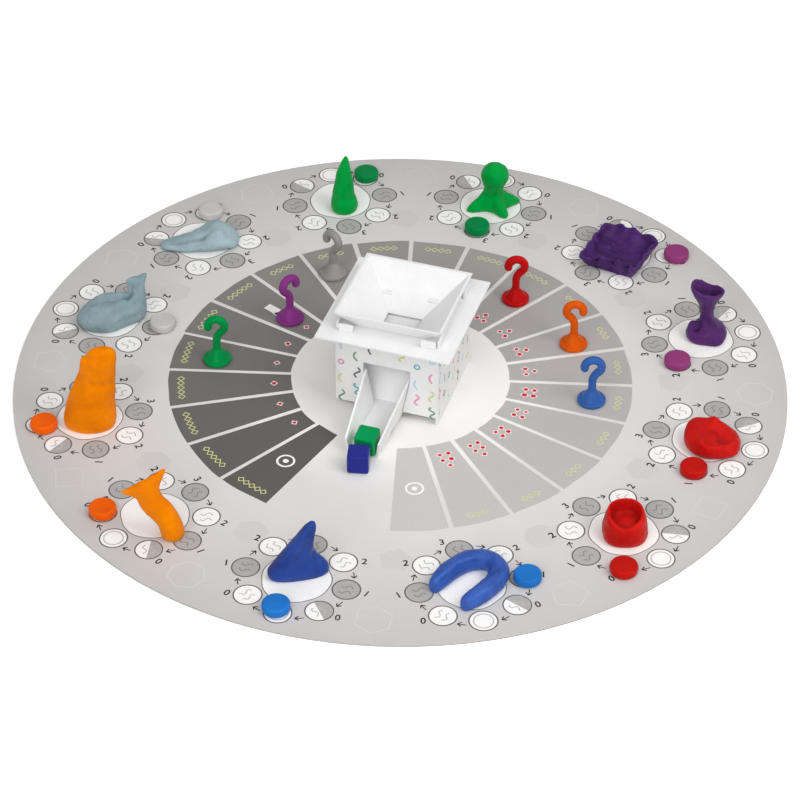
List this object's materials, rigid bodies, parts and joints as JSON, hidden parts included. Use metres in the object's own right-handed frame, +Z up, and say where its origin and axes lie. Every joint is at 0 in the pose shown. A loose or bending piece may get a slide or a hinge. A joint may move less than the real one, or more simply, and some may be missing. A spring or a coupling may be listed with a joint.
{
  "type": "clay guessing board game",
  "caption": "Round play board with a slotted card dice tower, question-mark pawns, disc tokens, plain dice and hand-kneaded clay figures laid out on their places.",
  "frame": {"origin": "middle of the board's underside", "axes": "+Z up out of the board, -Y the way the dice tower's chute points, +X to its right seen from the chute"},
  "size_m": [0.5799, 0.58, 0.0865],
  "materials": {
    "board_grey": "solid grey board, raw cut edge",
    "board_print": "matt printed paper, pale grey",
    "board_back": "matt dark grey paper",
    "white_card": "smooth white card with small pastel print",
    "die_green": "glossy moulded plastic",
    "die_blue": "glossy moulded plastic",
    "pawn_green": "glossy moulded plastic",
    "pawn_purple": "glossy moulded plastic",
    "pawn_grey": "glossy moulded plastic",
    "pawn_red": "glossy moulded plastic",
    "pawn_orange": "glossy moulded plastic",
    "pawn_blue": "glossy moulded plastic",
    "clay_green": "soft modelling clay, dull sheen",
    "clay_purple": "soft modelling clay, dull sheen",
    "clay_red": "soft modelling clay, dull sheen",
    "clay_blue": "soft modelling clay, dull sheen",
    "clay_orange": "soft modelling clay, dull sheen",
    "clay_grey": "soft modelling clay, dull sheen",
    "token_green": "satin moulded plastic",
    "token_purple": "satin moulded plastic",
    "token_red": "satin moulded plastic",
    "token_blue": "satin moulded plastic",
    "token_orange": "satin moulded plastic",
    "token_grey": "satin moulded plastic"
  },
  "bodies": {
    "board": {"board_core": "board_grey", "board_top_sheet": "board_print", "board_back_sheet": "board_back"},
    "dice_tower": {"tower_left_panel": "white_card", "tower_right_panel": "white_card", "tower_front_panel": "white_card", "tower_back_panel": "white_card", "tower_top_plate": "white_card", "hopper_front_wall": "white_card", "hopper_back_wall": "white_card", "hopper_left_wall": "white_card", "hopper_right_wall": "white_card", "drop_ramp": "white_card", "chute_floor": "white_card", "chute_left_wall": "white_card", "chute_right_wall": "white_card"},
    "green_die": {"green_die": "die_green"},
    "blue_die": {"blue_die": "die_blue"},
    "green_pawn": {"green_pawn": "pawn_green"},
    "purple_pawn": {"purple_pawn": "pawn_purple"},
    "grey_pawn": {"grey_pawn": "pawn_grey"},
    "red_pawn": {"red_pawn": "pawn_red"},
    "orange_pawn": {"orange_pawn": "pawn_orange"},
    "blue_pawn": {"blue_pawn": "pawn_blue"},
    "green_cone": {"green_cone": "clay_green"},
    "green_tripod": {"green_tripod": "clay_green"},
    "purple_dish": {"purple_dish": "clay_purple"},
    "purple_goblet": {"purple_goblet": "clay_purple"},
    "red_lump": {"red_lump": "clay_red"},
    "red_pot": {"red_pot": "clay_red"},
    "blue_horseshoe": {"blue_horseshoe": "clay_blue"},
    "blue_fin": {"blue_fin": "clay_blue"},
    "orange_tail": {"orange_tail": "clay_orange"},
    "orange_peak": {"orange_peak": "clay_orange"},
    "grey_lump": {"grey_lump": "clay_grey"},
    "grey_drop": {"grey_drop": "clay_grey"},
    "green_token_a": {"green_token_a": "token_green"},
    "green_token_b": {"green_token_b": "token_green"},
    "purple_token_a": {"purple_token_a": "token_purple"},
    "purple_token_b": {"purple_token_b": "token_purple"},
    "red_token_a": {"red_token_a": "token_red"},
    "red_token_b": {"red_token_b": "token_red"},
    "blue_token_a": {"blue_token_a": "token_blue"},
    "blue_token_b": {"blue_token_b": "token_blue"},
    "orange_token_a": {"orange_token_a": "token_orange"},
    "orange_token_b": {"orange_token_b": "token_orange"},
    "grey_token_a": {"grey_token_a": "token_grey"},
    "grey_token_b": {"grey_token_b": "token_grey"}
  },
  "joints": [
    {"name": "tower_lift", "type": "slide", "parent": "board", "child": "dice_tower", "axis": [0, 0, 1], "range_m": [0, 0.15]},
    {"name": "green_die_roll", "type": "slide", "parent": "dice_tower", "child": "green_die", "axis": [0, 0.9968, 0.0802], "range_m": [0, 0.03]},
    {"name": "blue_die_roll", "type": "slide", "parent": "board", "child": "blue_die", "axis": [0, -1, 0], "range_m": [0, 0.04]},
    {"name": "green_pawn_track", "type": "hinge", "parent": "board", "child": "green_pawn", "pos_m": [0, 0, 0.002], "axis": [0, 0, 1], "range_deg": [-15, 0]},
    {"name": "purple_pawn_track", "type": "hinge", "parent": "board", "child": "purple_pawn", "pos_m": [0, 0, 0.002], "axis": [0, 0, 1], "range_deg": [-15, 0]},
    {"name": "grey_pawn_track", "type": "hinge", "parent": "board", "child": "grey_pawn", "pos_m": [0, 0, 0.002], "axis": [0, 0, 1], "range_deg": [-15, 0]},
    {"name": "red_pawn_track", "type": "hinge", "parent": "board", "child": "red_pawn", "pos_m": [0, 0, 0.002], "axis": [0, 0, 1], "range_deg": [-15, 0]},
    {"name": "orange_pawn_track", "type": "hinge", "parent": "board", "child": "orange_pawn", "pos_m": [0, 0, 0.002], "axis": [0, 0, 1], "range_deg": [-15, 0]},
    {"name": "blue_pawn_track", "type": "hinge", "parent": "board", "child": "blue_pawn", "pos_m": [0, 0, 0.002], "axis": [0, 0, 1], "range_deg": [-60, 0]},
    {"name": "green_cone_lift", "type": "slide", "parent": "board", "child": "green_cone", "axis": [0, 0, 1], "range_m": [0, 0.1]},
    {"name": "green_tripod_lift", "type": "slide", "parent": "board", "child": "green_tripod", "axis": [0, 0, 1], "range_m": [0, 0.1]},
    {"name": "purple_dish_lift", "type": "slide", "parent": "board", "child": "purple_dish", "axis": [0, 0, 1], "range_m": [0, 0.1]},
    {"name": "purple_goblet_lift", "type": "slide", "parent": "board", "child": "purple_goblet", "axis": [0, 0, 1], "range_m": [0, 0.1]},
    {"name": "red_lump_lift", "type": "slide", "parent": "board", "child": "red_lump", "axis": [0, 0, 1], "range_m": [0, 0.1]},
    {"name": "red_pot_lift", "type": "slide", "parent": "board", "child": "red_pot", "axis": [0, 0, 1], "range_m": [0, 0.1]},
    {"name": "blue_horseshoe_lift", "type": "slide", "parent": "board", "child": "blue_horseshoe", "axis": [0, 0, 1], "range_m": [0, 0.1]},
    {"name": "blue_fin_lift", "type": "slide", "parent": "board", "child": "blue_fin", "axis": [0, 0, 1], "range_m": [0, 0.1]},
    {"name": "orange_tail_lift", "type": "slide", "parent": "board", "child": "orange_tail", "axis": [0, 0, 1], "range_m": [0, 0.1]},
    {"name": "orange_peak_lift", "type": "slide", "parent": "board", "child": "orange_peak", "axis": [0, 0, 1], "range_m": [0, 0.1]},
    {"name": "grey_lump_lift", "type": "slide", "parent": "board", "child": "grey_lump", "axis": [0, 0, 1], "range_m": [0, 0.1]},
    {"name": "grey_drop_lift", "type": "slide", "parent": "board", "child": "grey_drop", "axis": [0, 0, 1], "range_m": [0, 0.1]},
    {"name": "green_token_a_step", "type": "hinge", "parent": "board", "child": "green_token_a", "pos_m": [-0.11765, 0.20378, 0.002], "axis": [0, 0, 1], "range_deg": [-45, 0]},
    {"name": "green_token_b_step", "type": "hinge", "parent": "board", "child": "green_token_b", "pos_m": [0, 0.2353, 0.002], "axis": [0, 0, 1], "range_deg": [-45, 0]},
    {"name": "purple_token_a_step", "type": "hinge", "parent": "board", "child": "purple_token_a", "pos_m": [0.11765, 0.20378, 0.002], "axis": [0, 0, 1], "range_deg": [-45, 0]},
    {"name": "purple_token_b_step", "type": "hinge", "parent": "board", "child": "purple_token_b", "pos_m": [0.20378, 0.11765, 0.002], "axis": [0, 0, 1], "range_deg": [-45, 0]},
    {"name": "red_token_a_step", "type": "hinge", "parent": "board", "child": "red_token_a", "pos_m": [0.2353, 0, 0.002], "axis": [0, 0, 1], "range_deg": [-45, 0]},
    {"name": "red_token_b_step", "type": "hinge", "parent": "board", "child": "red_token_b", "pos_m": [0.20378, -0.11765, 0.002], "axis": [0, 0, 1], "range_deg": [-45, 0]},
    {"name": "blue_token_a_step", "type": "hinge", "parent": "board", "child": "blue_token_a", "pos_m": [0.11765, -0.20378, 0.002], "axis": [0, 0, 1], "range_deg": [-45, 0]},
    {"name": "blue_token_b_step", "type": "hinge", "parent": "board", "child": "blue_token_b", "pos_m": [0, -0.2353, 0.002], "axis": [0, 0, 1], "range_deg": [-45, 0]},
    {"name": "orange_token_a_step", "type": "hinge", "parent": "board", "child": "orange_token_a", "pos_m": [-0.11765, -0.20378, 0.002], "axis": [0, 0, 1], "range_deg": [-45, 0]},
    {"name": "orange_token_b_step", "type": "hinge", "parent": "board", "child": "orange_token_b", "pos_m": [-0.20378, -0.11765, 0.002], "axis": [0, 0, 1], "range_deg": [-45, 0]},
    {"name": "grey_token_a_step", "type": "hinge", "parent": "board", "child": "grey_token_a", "pos_m": [-0.2353, 0, 0.002], "axis": [0, 0, 1], "range_deg": [-45, 0]},
    {"name": "grey_token_b_step", "type": "hinge", "parent": "board", "child": "grey_token_b", "pos_m": [-0.20378, 0.11765, 0.002], "axis": [0, 0, 1], "range_deg": [-45, 0]}
  ]
}
